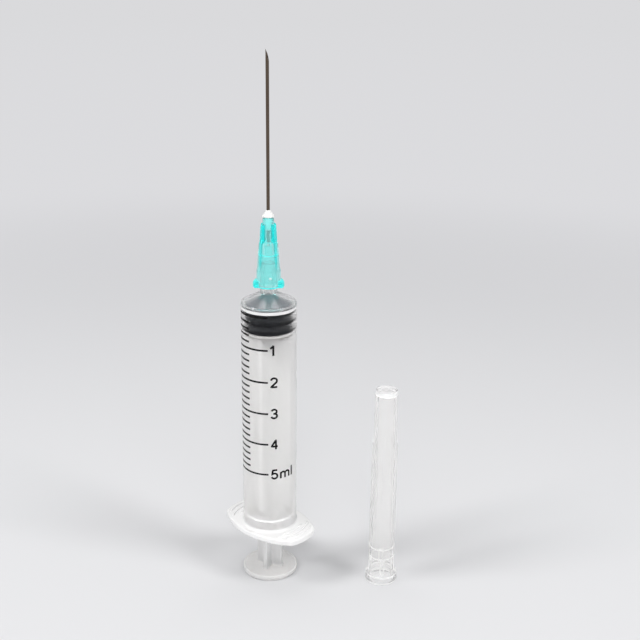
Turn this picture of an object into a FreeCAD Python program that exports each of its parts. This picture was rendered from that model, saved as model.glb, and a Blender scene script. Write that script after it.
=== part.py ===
# A 5 ml luer slip syringe that stands on its thumb disc, with its needle fitted and the needle's cap
# taken off and standing beside it. Millimetres, +Z up along the syringe, origin at the centre of the
# thumb disc's underside. The plunger is pushed fully home.
import FreeCAD, Part
import os
from math import cos, pi, radians, sin, sqrt, tan

Vector = FreeCAD.Vector
UP = Vector(0, 0, 1)
TURN = 360.0

# Barrel: one clear moulding of tube, finger flange, cone and slip tip
bore_r = 6.12            # sets the length of one millilitre on the scale
wall = 0.88              # tube wall
barrel_depth = 62.35     # underside of the flange to the bore's inner corner
shoulder_angle = 26.0    # slope of the front cone, from level
shoulder_wall = 1.0
shoulder_edge = 0.4      # bevel of the tube's front edge
flange_t = 1.6
flange_wing_r = 13.0     # reach of the two finger wings
flange_half_width = 8.5  # from the axis to the middle of a long side
flange_side_r = 20.0     # bow of the long sides
flange_corner_r = 2.5    # rounding where a wing's end meets a long side
flange_turn = -42.5      # direction of one wing about the axis, degrees
flange_bevel = 0.3
flange_root = 0.7        # sloped collar between tube and flange
grip_count = 3           # raised grip ridges on each wing
grip_first_gap = 1.7     # tube wall to the middle of the first ridge
grip_pitch = 1.45
grip_w = 0.7             # width of a ridge at its foot
grip_crest = 0.25        # width of its flat crest
grip_h = 0.3
grip_margin = 0.95       # bare rim between a ridge's end and the flange's edge
keeper_up = 4.5          # middle of the inner keeper ring above the flange's underside
keeper_h = 0.17          # how far the keeper ring stands into the bore
keeper_half = 0.45
keeper_crest = 0.15      # half the width of the keeper ring's crest
mouth_widening = 0.16    # the bore is this much wider below the keeper ring
mouth_chamfer = 0.5

# Slip tip: standard 6 percent luer cone
luer_taper = 0.06        # change of diameter for each unit of length
tip_end_r = 1.975
tip_engagement = 6.1     # length of the tip inside the hub
tip_standoff = 1.55      # bare tip between the cone's root and the hub
tip_bore_r = 1.0
tip_bevel = 0.2
luer_gap = 0.015         # radial running gap of the slip fit

# Printed scale
capacity_ml = 5
marks_per_ml = 5
mark_w = 0.36
mark_ink = 0.05
mark_start = -172.0      # direction about the axis where every line starts, degrees
long_mark = 81.0         # arc covered by a whole-millilitre line, degrees
short_mark = 39.0

# Plunger rod: one moulding of thumb disc, crossed ribs, collar and head
thumb_r = 7.25
thumb_t = 1.2
thumb_rim_w = 0.5
thumb_rim_h = 0.2
thumb_bevel = 0.2
rod_length = 68.8        # underside of the thumb disc to the seat of the stopper
keeper_gap = 0.05        # radial gap between the ribs and the keeper ring
collar_gap = 0.1         # radial gap between the collar and the bore, so that the keeper ring stops it
rib_t = 1.1
rib_turn = -22.5         # direction of one rib about the axis, degrees
neck_rib_r = 3.5         # the ribs are narrow next to the thumb disc
neck_length = 15.3       # from the thumb disc to the start of the widening
neck_widening = 3.6
rib_root_r = 0.45        # fillet where the ribs meet the thumb disc
collar_t = 0.9
stem_r = 2.1
stem_h = 1.5
head_r = 3.5
head_edge_h = 0.8
head_cone_h = 1.4
head_top_r = 1.6

# Rubber stopper
stopper_side = 6.5       # seat to the corner between side and front cone
lip_gap = 0.03           # radial running gap between sealing lips and bore
lip_count = 3
lip_first = 0.55         # seat to the middle of the lowest lip
lip_pitch = 2.325
lip_half = 0.55          # half the width of a lip at its foot
lip_crest = 0.2          # half the width of its crest
groove_depth = 0.5
stopper_edge = 0.3       # bevel between side and front cone
nose_gap = 0.15          # stopper's cone to the barrel's cone with the plunger home
head_gap = 0.05          # head of the rod in the stopper's pocket
nose_flat_r = 0.8

# Needle hub
hub_lug_r = 3.95
hub_lug_half = 1.9
hub_lug_h = 1.45
hub_lug_edge = 0.3
hub_skirt_r = 3.0
hub_skirt_h = 4.2
hub_step = 0.14          # the ledge that the cap stands against
hub_cone_h = 7.3
hub_cone_top_r = 2.33
hub_cone_edge = 0.5      # bevel round the top of the cone
neck_r = 1.38
hub_height = 17.6
fin_count = 4
fin_turn = 45.0
fin_t = 0.7
fin_low_r = 2.86
fin_mid_r = 2.64
fin_top_r = 2.32
fin_drop = 1.7           # the fins end this far below the hub's top
fin_round_r = 0.75
socket_depth = 8.0
chamber_r = 0.95
chamber_h = 2.9
well_r = 1.0
well_depth = 3.1

# Cannula, 21 gauge
needle_r = 0.41
needle_bore_r = 0.255
needle_exposed = 38.0    # adhesive to point
needle_start = 10.5      # lower end, above the hub's mouth
bevel_length = 3.0
bevel_turn = -18.0       # direction that the ground face looks to, degrees
lancet_length = 1.25     # the two side facets next to the point
lancet_turn = 32.0

# Adhesive bead
bead_h = 1.65
bead_base_r = 1.5
bead_lip = 0.25
bead_top_r = 0.5

# Needle cap, taken off
cap_aside = 29.7         # where the cap stands, to the right of the syringe
cap_forward = 5.3        # and in front of it
cap_point_gap = 0.35     # needle's point to the closed end with the cap on
cap_end_wall = 0.8
cap_foot_r = 4.18
cap_foot_h = 0.85
cap_waist_r = 3.98
cap_band_r = 4.12
cap_band_h = 2.35
cap_band_crest = 0.5     # height of the upright face of the foot and of the band
cap_low_r = 3.44
cap_low_h = 3.4
cap_top_r = 2.88
cap_rim_r = 2.72
cap_rim_h = 1.25
cap_dish_r = 2.0         # shallow dish in the closed end
cap_dish_depth = 0.25
gate_r = 0.35            # stub that the mould's inlet leaves in the dish
cap_mouth_gap = 0.05     # mouth over the hub's skirt
cap_mouth_depth = 0.5
cap_socket_gap = 0.09    # socket over the root of the hub's cone
cap_socket_depth = 7.0
cap_step_r = 2.75
cap_step_depth = 9.8
cap_bore_low_r = 2.62
cap_bore_top_r = 2.0
cap_bore_edge = 0.8      # bevel round the closed end of the bore
spline_count = 4
spline_w = 1.1
spline_gap = 0.06        # spline over the hub's cone
spline_low = 2.0
spline_point = 0.9       # height of the pointed lower end
cap_rib_count = 8
cap_rib_w = 0.6
cap_rib_low = 7.2
cap_rib_top = 40.0
cap_rib_low_r = 3.46
cap_rib_top_r = 3.28

# Sizes that follow from the ones above
barrel_r = bore_r + wall
slope = tan(radians(shoulder_angle))
corner_z = rod_length + stopper_side + nose_gap
flange_z = corner_z - barrel_depth
flange_top = flange_z + flange_t
keeper_z = flange_z + keeper_up
shoulder_rise = shoulder_wall / cos(radians(shoulder_angle))
ml_pitch = 1000.0 / (pi * bore_r ** 2)
lips_z = [rod_length + lip_first + i * lip_pitch for i in range(lip_count)]
zero_z = lips_z[-1]
guide_r = bore_r - keeper_h - keeper_gap
collar_r = bore_r - collar_gap
hub_mouth_r = tip_end_r + tip_engagement * luer_taper / 2
tip_root_r = hub_mouth_r + tip_standoff * luer_taper / 2
tip_root_z = corner_z + (bore_r - tip_root_r) * slope + shoulder_rise
hub_z = tip_root_z + tip_standoff
tip_end_z = hub_z + tip_engagement
ledge_z = hub_z + hub_skirt_h
ledge_inner_r = hub_skirt_r - hub_step
hub_top_z = hub_z + hub_height
bead_top_z = hub_top_z + bead_h
point_z = bead_top_z + needle_exposed
cap_depth = point_z - ledge_z + cap_mouth_depth + cap_point_gap
cap_height = cap_depth + cap_end_wall
cap_socket_r = ledge_inner_r + cap_socket_gap


def at(radius, z):
    """A point of a profile in the XZ plane."""
    return Vector(radius, 0, z)


def outline(points):
    """A closed wire through points. A point given as a tuple (middle, end) is reached by an arc."""
    edges = []
    first = last = points[0]
    for item in list(points[1:]) + [first]:
        if isinstance(item, tuple):
            middle, end = item
            edges.append(Part.Arc(last, middle, end).toShape())
        else:
            end = item
            if end.distanceToPoint(last) > 1e-7:
                edges.append(Part.LineSegment(last, end).toShape())
        last = end
    return Part.Wire(edges)


def turned(points):
    """A solid turned about Z from a profile."""
    return Part.Face(outline(points)).revolve(Vector(0, 0, 0), UP, TURN)


def plate(points, thickness):
    """A flat outline in the XZ plane, thickened evenly to both sides of that plane."""
    face = Part.Face(outline(points))
    face.translate(Vector(0, -thickness / 2, 0))
    return face.extrude(Vector(0, thickness, 0))


def rounded(corner, before, after, radius):
    """The start point and the arc that round a profile's corner."""
    to_before = (before - corner).normalize()
    to_after = (after - corner).normalize()
    half = to_before.getAngle(to_after) / 2
    reach = radius / tan(half)
    middle_way = (to_before + to_after).normalize()
    centre = corner + middle_way * (radius / sin(half))
    start = corner + to_before * reach
    end = corner + to_after * reach
    middle = centre - middle_way * radius
    return [start, (middle, end)]


def bevelled(corner, before, after, cut):
    """The two points that take a profile's corner off, both at the same distance from it."""
    to_before = (before - corner).normalize()
    to_after = (after - corner).normalize()
    return [corner + to_before * cut, corner + to_after * cut]


def about(shape, angle):
    """A copy turned about Z."""
    copy = shape.copy()
    copy.rotate(Vector(0, 0, 0), UP, angle)
    return copy


def around(shape, count, first=0.0):
    """Copies spaced evenly about Z."""
    return [about(shape, first + TURN * i / count) for i in range(count)]


def level_edges(shape, z):
    """The edges that lie flat at one height."""
    near = 1e-5
    return [e for e in shape.Edges if abs(e.BoundBox.ZMin - z) < near and abs(e.BoundBox.ZMax - z) < near]


def shoulder_inside(radius):
    """Height of the barrel's inner cone at a radius."""
    return corner_z + (bore_r - radius) * slope


def shoulder_outside(radius):
    return shoulder_inside(radius) + shoulder_rise


def flange_outline(inset, z):
    """Two wing arcs about the axis joined by two bowed sides, drawn along X and moved in by inset."""
    wing = flange_wing_r - inset
    side = flange_side_r - inset
    centre_y = flange_half_width - flange_side_r
    y = (wing ** 2 - side ** 2 + centre_y ** 2) / (2 * centre_y)
    x = sqrt(wing ** 2 - y ** 2)
    side_top = centre_y + side
    return Part.Wire([
        Part.Arc(Vector(x, -y, z), Vector(wing, 0, z), Vector(x, y, z)).toShape(),
        Part.Arc(Vector(x, y, z), Vector(0, side_top, z), Vector(-x, y, z)).toShape(),
        Part.Arc(Vector(-x, y, z), Vector(-wing, 0, z), Vector(-x, -y, z)).toShape(),
        Part.Arc(Vector(-x, -y, z), Vector(0, -side_top, z), Vector(x, -y, z)).toShape(),
    ])


def finger_flange():
    """The winged plate with its grip ridges."""
    body = Part.Face(flange_outline(0, flange_z)).extrude(UP * flange_t)
    corners = [e for e in body.Edges if e.BoundBox.ZLength > flange_t / 2]
    body = body.makeFillet(flange_corner_r, corners)
    body = body.makeChamfer(flange_bevel, level_edges(body, flange_z) + level_edges(body, flange_top))
    field = Part.Face(flange_outline(grip_margin, flange_top - grip_h)).extrude(UP * (2 * grip_h))
    reach = barrel_r + grip_first_gap - grip_pitch / 2
    keep_out = Part.makeBox(2 * reach, 4 * flange_wing_r, 4 * grip_h)
    keep_out.translate(Vector(-reach, -2 * flange_wing_r, flange_top - 2 * grip_h))
    for i in range(grip_count):
        radius = barrel_r + grip_first_gap + i * grip_pitch
        ring = turned([
            at(radius - grip_w / 2, flange_top - grip_h),
            at(radius - grip_w / 2, flange_top),
            at(radius - grip_crest / 2, flange_top + grip_h),
            at(radius + grip_crest / 2, flange_top + grip_h),
            at(radius + grip_w / 2, flange_top),
            at(radius + grip_w / 2, flange_top - grip_h),
        ])
        body = body.fuse(ring.common(field).cut(keep_out))
    return about(body, flange_turn)


def barrel():
    """Tube, front cone and slip tip turned as one, joined to the flange, with the bore taken out."""
    tip_root = at(tip_root_r, tip_root_z)
    front_edge = at(barrel_r, shoulder_outside(barrel_r))
    shell = turned([
        at(0, flange_z),
        at(barrel_r + flange_root, flange_z),
        at(barrel_r + flange_root, flange_top),
        at(barrel_r, flange_top + flange_root),
        *bevelled(front_edge, at(barrel_r, flange_top), tip_root, shoulder_edge),
        tip_root,
        at(tip_end_r + tip_bevel * luer_taper / 2, tip_end_z - tip_bevel),
        at(tip_end_r - tip_bevel, tip_end_z),
        at(0, tip_end_z),
    ])
    mouth_r = bore_r + mouth_widening
    keeper_r = bore_r - keeper_h
    bore = turned([
        at(0, flange_z),
        at(mouth_r + mouth_chamfer, flange_z),
        at(mouth_r, flange_z + mouth_chamfer),
        at(mouth_r, keeper_z - keeper_half),
        at(keeper_r, keeper_z - keeper_crest),
        at(keeper_r, keeper_z + keeper_crest),
        at(bore_r, keeper_z + keeper_half),
        at(bore_r, corner_z),
        at(tip_bore_r, shoulder_inside(tip_bore_r)),
        at(tip_bore_r, tip_end_z),
        at(0, tip_end_z),
    ])
    return shell.fuse(finger_flange()).cut(bore).removeSplitter()


def scale_marks():
    """Ink lines on the tube, one for each fifth of a millilitre, long at the whole ones."""
    marks = []
    for i in range(capacity_ml * marks_per_ml + 1):
        z = zero_z - i * ml_pitch / marks_per_ml
        arc = long_mark if i % marks_per_ml == 0 else short_mark
        band = Part.Face(outline([
            at(barrel_r, z - mark_w / 2),
            at(barrel_r + mark_ink, z - mark_w / 2),
            at(barrel_r + mark_ink, z + mark_w / 2),
            at(barrel_r, z + mark_w / 2),
        ]))
        marks.append(about(band.revolve(Vector(0, 0, 0), UP, arc), mark_start))
    return Part.makeCompound(marks)


def plunger_rod():
    """Thumb disc, two crossed webs that widen above the neck, collar, stem and head."""
    rim_z = thumb_t + thumb_rim_h
    disc = turned([
        at(0, 0),
        at(thumb_r - thumb_bevel, 0),
        at(thumb_r, thumb_bevel),
        at(thumb_r, rim_z - thumb_bevel),
        at(thumb_r - thumb_bevel, rim_z),
        at(thumb_r - thumb_rim_w + thumb_rim_h, rim_z),
        at(thumb_r - thumb_rim_w, thumb_t),
        at(0, thumb_t),
    ])
    collar_z = rod_length - collar_t
    wide_z = thumb_t + neck_length + neck_widening
    web = plate([
        at(-neck_rib_r, thumb_t / 2),
        at(neck_rib_r, thumb_t / 2),
        at(neck_rib_r, thumb_t + neck_length),
        at(guide_r, wide_z),
        at(guide_r, collar_z + collar_t / 2),
        at(-guide_r, collar_z + collar_t / 2),
        at(-guide_r, wide_z),
        at(-neck_rib_r, thumb_t + neck_length),
    ], rib_t)
    cross = web.fuse(about(web, 90)).common(Part.makeCylinder(guide_r, rod_length))
    foot = disc.fuse(cross)
    foot = foot.makeFillet(rib_root_r, [e for e in level_edges(foot, thumb_t) if e.Length < 2 * neck_rib_r])
    stem_z = rod_length + stem_h
    edge_z = stem_z + head_edge_h
    top = turned([
        at(0, collar_z),
        at(collar_r, collar_z),
        at(collar_r, rod_length),
        at(stem_r, rod_length),
        at(stem_r, stem_z),
        at(head_r, stem_z),
        at(head_r, edge_z),
        at(head_top_r, edge_z + head_cone_h),
        at(0, edge_z + head_cone_h),
    ])
    return about(foot.fuse(top).removeSplitter(), rib_turn)


def stopper():
    """Rubber piston: three sealing lips, a front cone and a pocket for the rod's head."""
    side_r = bore_r - groove_depth
    lip_r = bore_r - lip_gap
    side = []
    for z in lips_z:
        side += [
            at(side_r, z - lip_half),
            at(lip_r, z - lip_crest),
            at(lip_r, z + lip_crest),
            at(side_r, z + lip_half),
        ]
    corner = at(side_r, shoulder_inside(side_r) - nose_gap)
    nose = at(nose_flat_r, shoulder_inside(nose_flat_r) - nose_gap)
    body = turned([
        at(0, rod_length),
        at(side_r, rod_length),
        *side,
        *bevelled(corner, side[-1], nose, stopper_edge),
        nose,
        at(0, nose.z),
    ])
    stem_z = rod_length + stem_h - head_gap
    edge_z = rod_length + stem_h + head_edge_h
    pocket = turned([
        at(0, rod_length),
        at(stem_r + head_gap, rod_length),
        at(stem_r + head_gap, stem_z),
        at(head_r + head_gap, stem_z),
        at(head_r + head_gap, edge_z),
        at(head_top_r + head_gap, edge_z + head_cone_h + head_gap),
        at(0, edge_z + head_cone_h + head_gap),
    ])
    return body.cut(pocket)


def hub_lugs():
    """The two ears at the hub's mouth, with sloped and bevelled tops."""
    corner = at(hub_lug_r, hub_z + hub_lug_h)
    root = at(hub_skirt_r, hub_z + hub_lug_h + hub_lug_edge)
    disc = turned([
        at(0, hub_z),
        at(hub_lug_r, hub_z),
        *bevelled(corner, at(hub_lug_r, hub_z), root, hub_lug_edge),
        root,
        at(0, root.z),
    ])
    bar = Part.makeBox(3 * hub_lug_r, 2 * hub_lug_half, 2 * hub_lug_h)
    bar.translate(Vector(-1.5 * hub_lug_r, -hub_lug_half, hub_z))
    return disc.common(bar)


def hub_fin():
    """One upright fin from the cap's ledge to the neck, with a rounded top corner."""
    shoulder_z = ledge_z + hub_cone_h
    top_z = hub_top_z - fin_drop
    inner = needle_r
    return plate([
        at(inner, ledge_z),
        at(fin_low_r, ledge_z),
        at(fin_mid_r, shoulder_z),
        *rounded(at(fin_top_r, top_z), at(fin_mid_r, shoulder_z), at(inner, top_z), fin_round_r),
        at(inner, top_z),
    ], fin_t)


def needle_hub():
    """Coloured moulding with a luer socket, four fins and a well for the adhesive."""
    cone_foot = at(ledge_inner_r, ledge_z)
    cone_top_z = ledge_z + hub_cone_h
    body = turned([
        at(0, hub_z),
        at(hub_skirt_r, hub_z),
        at(hub_skirt_r, ledge_z),
        cone_foot,
        *bevelled(at(hub_cone_top_r, cone_top_z), cone_foot, at(neck_r, cone_top_z), hub_cone_edge),
        at(neck_r, cone_top_z),
        at(neck_r, hub_top_z),
        at(0, hub_top_z),
    ])
    body = body.fuse([hub_lugs()] + around(hub_fin(), fin_count, fin_turn))
    socket_end = hub_z + socket_depth
    chamber_top = socket_end + chamber_h
    inside = turned([
        at(0, hub_z),
        at(hub_mouth_r + luer_gap, hub_z),
        at(hub_mouth_r + luer_gap - socket_depth * luer_taper / 2, socket_end),
        at(chamber_r, socket_end),
        at(chamber_r, chamber_top - chamber_r / 2),
        at(needle_r, chamber_top),
        at(needle_r, hub_top_z - well_depth),
        at(well_r, hub_top_z - well_depth),
        at(well_r, hub_top_z),
        at(0, hub_top_z),
    ])
    return body.cut(inside).removeSplitter()


def slope_cutter(length, turn):
    """Everything in front of a plane through the point of the needle that leaves its side after length."""
    far = 4 * needle_r
    run = length * far / (2 * needle_r)
    wedge = plate([
        at(-needle_r, point_z),
        at(-needle_r + far, point_z - run),
        at(-needle_r + far, point_z + length),
        at(-needle_r, point_z + length),
    ], 2 * far)
    return about(wedge, turn)


def needle_cannula():
    """Steel tube with a lancet point: a long ground face and two side facets."""
    start = hub_z + needle_start
    length = point_z - start
    tube = Part.makeCylinder(needle_r, length, Vector(0, 0, start))
    tube = tube.cut(Part.makeCylinder(needle_bore_r, length, Vector(0, 0, start)))
    tube = tube.cut(slope_cutter(bevel_length, 0))
    for side in (-lancet_turn, lancet_turn):
        tube = tube.cut(slope_cutter(bevel_length - lancet_length, side))
    return about(tube, bevel_turn)


def needle_adhesive():
    """Opaque bead that fills the hub's well and rises to a cone round the cannula."""
    well_z = hub_top_z - well_depth
    bead = turned([
        at(needle_r, well_z),
        at(well_r, well_z),
        at(well_r, hub_top_z),
        at(bead_base_r, hub_top_z),
        at(bead_base_r, hub_top_z + bead_lip),
        at(bead_top_r, bead_top_z),
        at(needle_r, bead_top_z),
    ])
    return bead


def cap_spline():
    """One inner spline, pointed at its lower end, that fits between the hub's fins and over its cone."""
    half = spline_w / 2
    shoulder = spline_low + spline_point
    outer = (cap_socket_r + cap_low_r) / 2
    face = Part.Face(Part.makePolygon([
        Vector(0, 0, spline_low),
        Vector(0, half, shoulder),
        Vector(0, half, cap_socket_depth),
        Vector(0, -half, cap_socket_depth),
        Vector(0, -half, shoulder),
        Vector(0, 0, spline_low),
    ]))
    hub_space = turned([
        at(0, cap_mouth_depth),
        at(ledge_inner_r + spline_gap, cap_mouth_depth),
        at(hub_cone_top_r + spline_gap, cap_mouth_depth + hub_cone_h),
        at(0, cap_mouth_depth + hub_cone_h),
    ])
    return face.extrude(Vector(outer, 0, 0)).cut(hub_space)


def cap_rib():
    """One outer rib, which stands out of the cap's taper towards its upper end."""
    buried = (cap_bore_low_r + cap_rib_low_r) / 2
    return plate([
        at(buried, cap_rib_low),
        at(cap_rib_low_r, cap_rib_low),
        at(cap_rib_top_r, cap_rib_top),
        at(buried, cap_rib_top),
    ], cap_rib_w)


def needle_cap():
    """Long tapered cover, closed at the top, with a double band at its mouth."""
    rim_z = cap_height - cap_rim_h
    groove = cap_foot_r - cap_waist_r
    waist_z = cap_foot_h + groove
    dish_z = cap_height - cap_dish_depth
    body = turned([
        at(0, 0),
        at(cap_foot_r - groove, 0),
        at(cap_foot_r, groove),
        at(cap_foot_r, groove + cap_band_crest),
        at(cap_waist_r, waist_z),
        at(cap_band_r, cap_band_h - cap_band_crest),
        at(cap_band_r, cap_band_h),
        at(cap_low_r, cap_low_h),
        at(cap_top_r, rim_z),
        at(cap_rim_r, rim_z),
        at(cap_rim_r, cap_height),
        at(cap_dish_r, cap_height),
        at(cap_dish_r - cap_dish_depth, dish_z),
        at(gate_r, dish_z),
        at(gate_r, cap_height),
        at(0, cap_height),
    ])
    body = body.fuse(around(cap_rib(), cap_rib_count))
    bore = turned([
        at(0, 0),
        at(hub_skirt_r + cap_mouth_gap, 0),
        at(hub_skirt_r + cap_mouth_gap, cap_mouth_depth),
        at(cap_socket_r, cap_mouth_depth),
        at(cap_socket_r, cap_socket_depth),
        at(cap_step_r, cap_socket_depth),
        at(cap_step_r, cap_step_depth),
        at(cap_bore_low_r, cap_step_depth),
        *bevelled(at(cap_bore_top_r, cap_depth), at(cap_bore_low_r, cap_step_depth), at(0, cap_depth),
                  cap_bore_edge),
        at(0, cap_depth),
    ])
    cap = body.cut(bore).fuse(around(cap_spline(), spline_count)).removeSplitter()
    cap.translate(Vector(cap_aside, -cap_forward, 0))
    return cap


def single(shape):
    """The one solid that a shape holds."""
    if len(shape.Solids) != 1:
        raise ValueError("expected one solid, found %d" % len(shape.Solids))
    return shape.Solids[0]


def main():
    os.makedirs("parts", exist_ok=True)
    pieces = {
        "barrel": single(barrel()),
        "scale_marks": scale_marks(),
        "plunger_rod": single(plunger_rod()),
        "stopper": single(stopper()),
        "needle_hub": single(needle_hub()),
        "needle_cannula": single(needle_cannula()),
        "needle_adhesive": single(needle_adhesive()),
        "needle_cap": single(needle_cap()),
    }
    for name, shape in pieces.items():
        shape.exportStep("parts/%s.step" % name)
        print("%-16s solids %2d  volume %9.3f mm3  valid %s" % (
            name, len(shape.Solids), shape.Volume, shape.isValid()))


main()
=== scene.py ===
# A luer slip syringe with its needle fitted and the needle's cap standing beside it, for the studio.
# Sizes are in millimetres and turned into metres when a mesh is made. Z is up along the syringe.
from math import acos, asin, atan2, cos, pi, radians, sin, sqrt, tan

import bmesh
import bpy
import numpy as np
from mathutils import Matrix, Vector


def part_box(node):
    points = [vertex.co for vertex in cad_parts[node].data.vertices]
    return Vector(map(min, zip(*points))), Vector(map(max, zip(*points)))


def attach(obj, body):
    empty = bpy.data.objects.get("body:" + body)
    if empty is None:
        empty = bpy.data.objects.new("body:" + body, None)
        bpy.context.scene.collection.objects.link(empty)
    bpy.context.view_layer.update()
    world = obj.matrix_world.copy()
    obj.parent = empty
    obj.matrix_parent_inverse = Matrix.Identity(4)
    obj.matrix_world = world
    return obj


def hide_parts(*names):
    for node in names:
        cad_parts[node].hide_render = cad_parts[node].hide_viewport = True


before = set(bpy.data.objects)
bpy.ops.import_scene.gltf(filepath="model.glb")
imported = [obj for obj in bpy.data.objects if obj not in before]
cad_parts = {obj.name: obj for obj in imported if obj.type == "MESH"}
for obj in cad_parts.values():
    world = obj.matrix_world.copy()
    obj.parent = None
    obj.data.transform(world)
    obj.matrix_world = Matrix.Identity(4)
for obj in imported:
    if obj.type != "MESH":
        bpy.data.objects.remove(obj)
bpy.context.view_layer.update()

MM = 0.001


def cad_box(node):
    """Lowest and highest corner of a CAD node in millimetres."""
    low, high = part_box(node)
    return np.array(low) / MM, np.array(high) / MM


BARREL_LOW, BARREL_HIGH = cad_box("barrel")
STOPPER_LOW = cad_box("stopper")[0]
HUB_LOW, HUB_HIGH = cad_box("needle_hub")
BEAD_HIGH = cad_box("needle_adhesive")[1]
CAP_LOW, CAP_HIGH = cad_box("needle_cap")
MARKS_LOW, MARKS_HIGH = cad_box("scale_marks")

# Barrel
BORE_R = 6.12
BARREL_R = 7.0
SHOULDER_SLOPE = tan(radians(26.0))
SHOULDER_EDGE_ROUND = 0.8
BARREL_DEPTH = 62.35
FLANGE_T = 1.6
FLANGE_WING_R = 13.0
FLANGE_HALF_WIDTH = 8.5
FLANGE_SIDE_R = 20.0
FLANGE_CORNER_R = 2.5
FLANGE_TURN = radians(-42.5)
FLANGE_RIM_ROUND = 0.4
FLANGE_ROOT_ROUND = 0.7
GRIP_COUNT = 3
GRIP_FIRST_R = 8.7
GRIP_PITCH = 1.45
GRIP_HALF = 0.35
GRIP_H = 0.3
GRIP_MARGIN = 0.95
GRIP_END = 0.35
KEEPER_UP = 4.5
KEEPER_H = 0.17
KEEPER_HALF = 0.45
KEEPER_CREST = 0.15
MOUTH_WIDENING = 0.16
MOUTH_CHAMFER = 0.5
TIP_BORE_R = 1.0
TIP_END_R = 1.975
TIP_HUB_R = 2.158
TIP_STANDOFF = 1.55
LUER_SLOPE = 0.03

FLANGE_Z = BARREL_LOW[2]
FLANGE_TOP = FLANGE_Z + FLANGE_T
CORNER_Z = FLANGE_Z + BARREL_DEPTH
TIP_END_Z = BARREL_HIGH[2]
HUB_Z = HUB_LOW[2]
HUB_TOP_Z = HUB_HIGH[2]
TIP_ROOT_R = TIP_HUB_R + TIP_STANDOFF * LUER_SLOPE
TIP_ROOT_Z = HUB_Z - TIP_STANDOFF
SEAT_Z = STOPPER_LOW[2]
# A band just under the shoulder's rounded edge that gets a nearly opaque white finish: a painted highlight.
SHOULDER_HIGHLIGHT_LOW = CORNER_Z - 0.85
SHOULDER_HIGHLIGHT_TOP = CORNER_Z - 0.05

# Plunger
THUMB_R = 7.25
THUMB_T = 1.2
THUMB_RIM_W = 0.5
THUMB_RIM_H = 0.2
RIB_HALF = 0.55
RIB_TURN = radians(-22.5)
NECK_RIB_R = 3.5
GUIDE_R = 5.9
NECK_LENGTH = 15.3
NECK_WIDENING = 3.6
RIB_ROOT_ROUND = 0.45
COLLAR_R = 6.02
COLLAR_T = 0.9
# Height of a dark grey band round the collar's lower edge: painted shade under the collar.
COLLAR_SHADE_H = 0.35
STEM_R = 2.1
STEM_H = 1.5
HEAD_R = 3.5
HEAD_EDGE_H = 0.8
HEAD_CONE_H = 1.4
HEAD_TOP_R = 1.6

# Stopper
GROOVE_R = 5.62
LIP_R = 6.13
LIP_FIRST = 0.55
LIP_PITCH = 2.325
LIP_HALF = 0.55
LIP_CREST = 0.3
LIP_COUNT = 3
NOSE_GAP = 0.15
NOSE_FLAT_R = 0.8

# Needle hub
LUG_R = 3.95
LUG_HALF = 1.9
LUG_H = 1.45
LUG_ROUND_START = 0.45
SKIRT_R = 3.0
SKIRT_H = 4.2
LEDGE = 0.14
CONE_H = 7.3
CONE_TOP_R = 2.33
NECK_R = 1.38
FIN_COUNT = 4
FIN_TURN = radians(45.0)
FIN_HALF = 0.35
FIN_MID_R = 2.64
FIN_TOP_R = 2.32
FIN_DROP = 1.7
FIN_ROUND = 0.75
DEEP_TINT = 0.2
FIN_TINT_HALF = 0.5
FIN_TINT_SOFT = 0.25
FIN_TINT_FADE = 2.5
GATE_TURN = radians(-80.0)
GATE_UP = 2.75
GATE_R = 0.3
GATE_H = 0.14
SOCKET_DEPTH = 8.0
SOCKET_GAP = 0.015
CHAMBER_R = 0.95
CHAMBER_H = 2.9
WELL_R = 1.0
WELL_DEPTH = 3.1
LEDGE_Z = HUB_Z + SKIRT_H
CONE_TOP_Z = LEDGE_Z + CONE_H

# Cannula and adhesive
NEEDLE_R = 0.41
NEEDLE_BORE_R = 0.255
NEEDLE_START = 10.5
NEEDLE_EXPOSED = 38.0
BEVEL_LENGTH = 3.0
LANCET_LENGTH = 1.25
BEVEL_TURN = radians(-18.0)
LANCET_TURN = radians(32.0)
BEAD_BASE_R = 1.5
BEAD_LIP = 0.25
BEAD_TOP_R = 0.5
BEAD_TOP_Z = BEAD_HIGH[2]
POINT_Z = BEAD_TOP_Z + NEEDLE_EXPOSED

# Needle cap
CAP_CENTRE = (CAP_LOW + CAP_HIGH) / 2
CAP_HEIGHT = CAP_HIGH[2] - CAP_LOW[2]
CAP_END_WALL = 0.8
CAP_OPENING_R = 3.05
CAP_FOOT_R = 4.177
CAP_FOOT_EDGE = 0.62
CAP_FOOT_H = 0.85
CAP_GROOVE_R = 3.98
CAP_GROOVE_Z = 1.05
CAP_BAND_R = 4.12
CAP_BAND_LOW = 1.35
CAP_BAND_EDGE = 1.9
CAP_BAND_TOP = 2.35
CAP_WALL_R = 3.44
CAP_WALL_Z = 3.4
CAP_END_R = 2.88
CAP_STEP_H = 1.25
CAP_CUP_R = 2.72
CAP_RECESS = 0.25
CAP_PIP_DROP = 0.03
CAP_BORE_R = 2.75
CAP_BORE_END_R = 2.62
CAP_BORE_STEP_Z = 9.8
CAP_SOCKET_R = 2.95
CAP_DEPTH = CAP_HEIGHT - CAP_END_WALL
CAP_RIB_COUNT = 8
CAP_RIB_HALF = 0.3
CAP_RIB_LOW = 7.2
CAP_RIB_TOP = 40.0
CAP_RIB_LOW_R = 3.46
CAP_RIB_TOP_R = 3.28
SPLINE_COUNT = 4
SPLINE_HALF = 0.55
SPLINE_LOW = 2.0
SPLINE_POINT = 0.9
SPLINE_TOP = 7.0
# Width of the painted highlight along each spline's edge.
SPLINE_HIGHLIGHT_W = 0.2

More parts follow.
